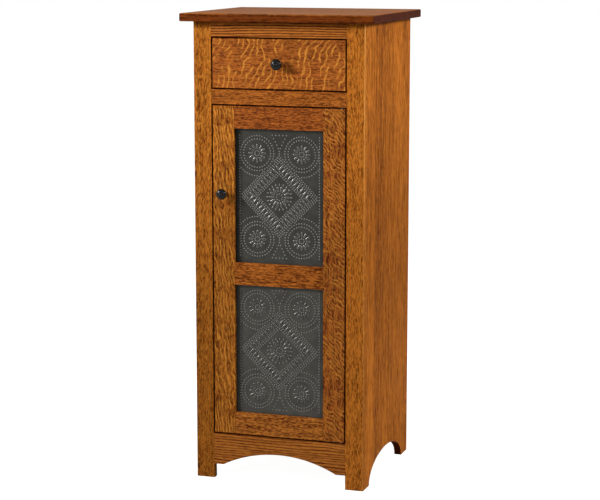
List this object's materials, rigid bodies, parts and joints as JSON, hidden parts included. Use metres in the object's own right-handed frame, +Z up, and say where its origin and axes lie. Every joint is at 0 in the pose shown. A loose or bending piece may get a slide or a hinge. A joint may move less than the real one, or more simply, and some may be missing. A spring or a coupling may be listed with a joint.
{
  "type": "pie safe",
  "caption": "Narrow free-standing oak pie safe: an inset drawer over an inset door with punched tin panels, on arched feet.",
  "frame": {"origin": "on the floor, in the middle of the whole outline, which runs from the knobs' fronts to the case's back", "axes": "+X to the right seen from the front, +Y to the back, +Z up"},
  "size_m": [0.514, 0.452, 1.219],
  "materials": {
    "oak": "amber stain under a satin lacquer",
    "dark_oak": "brown stain under a satin lacquer",
    "inside_oak": "thin amber stain, matt",
    "maple": "clear satin lacquer",
    "dark_tin": "dark pewter patina, punched",
    "black_iron": "satin black",
    "bright_steel": "zinc plated",
    "brown_plastic": "moulded, matt"
  },
  "bodies": {
    "case": {"top_board": "dark_oak", "left_side": "oak", "right_side": "oak", "frame_left_stile": "oak", "frame_right_stile": "oak", "frame_top_rail": "oak", "frame_mid_rail": "oak", "frame_bottom_rail": "oak", "back_panel": "inside_oak", "case_bottom": "inside_oak", "dust_panel": "inside_oak", "front_top_cleat": "inside_oak", "rear_top_cleat": "inside_oak", "lower_shelf": "inside_oak", "upper_shelf": "inside_oak", "lower_shelf_pin_left_front": "bright_steel", "lower_shelf_pin_left_rear": "bright_steel", "lower_shelf_pin_right_front": "bright_steel", "lower_shelf_pin_right_rear": "bright_steel", "upper_shelf_pin_left_front": "bright_steel", "upper_shelf_pin_left_rear": "bright_steel", "upper_shelf_pin_right_front": "bright_steel", "upper_shelf_pin_right_rear": "bright_steel", "left_slide_spacer": "inside_oak", "right_slide_spacer": "inside_oak", "left_slide_outer": "bright_steel", "right_slide_outer": "bright_steel", "lower_hinge_frame_leaf": "black_iron", "upper_hinge_frame_leaf": "black_iron", "lower_hinge_washer": "bright_steel", "upper_hinge_washer": "bright_steel", "magnetic_catch": "brown_plastic"},
    "slide_middles": {"left_slide_middle": "bright_steel", "right_slide_middle": "bright_steel"},
    "drawer": {"left_slide_inner": "bright_steel", "right_slide_inner": "bright_steel", "drawer_face": "oak", "drawer_box_front": "maple", "drawer_left_side": "maple", "drawer_right_side": "maple", "drawer_box_back": "maple", "drawer_bottom": "maple", "drawer_knob": "black_iron", "drawer_knob_screw": "bright_steel"},
    "door": {"door_left_stile": "oak", "door_right_stile": "oak", "door_top_rail": "oak", "door_mid_rail": "oak", "door_bottom_rail": "oak", "upper_tin": "dark_tin", "lower_tin": "dark_tin", "upper_tin_stop": "oak", "lower_tin_stop": "oak", "door_knob": "black_iron", "door_knob_screw": "bright_steel", "lower_hinge_door_leaf": "black_iron", "upper_hinge_door_leaf": "black_iron", "catch_strike": "bright_steel"}
  },
  "joints": [
    {"name": "drawer_slide", "type": "slide", "parent": "case", "child": "drawer", "axis": [0, -1, 0], "range_m": [0, 0.35]},
    {"name": "slide_middles_slide", "type": "slide", "parent": "case", "child": "slide_middles", "axis": [0, -1, 0], "range_m": [0, 0.175]},
    {"name": "door_hinge", "type": "hinge", "parent": "case", "child": "door", "pos_m": [0.168, -0.1925, 0.555], "axis": [0, 0, 1], "range_deg": [0, 110]}
  ],
  "couplings": [
    {"joint": "slide_middles_slide", "follows": "drawer_slide", "ratio": 0.5}
  ]
}
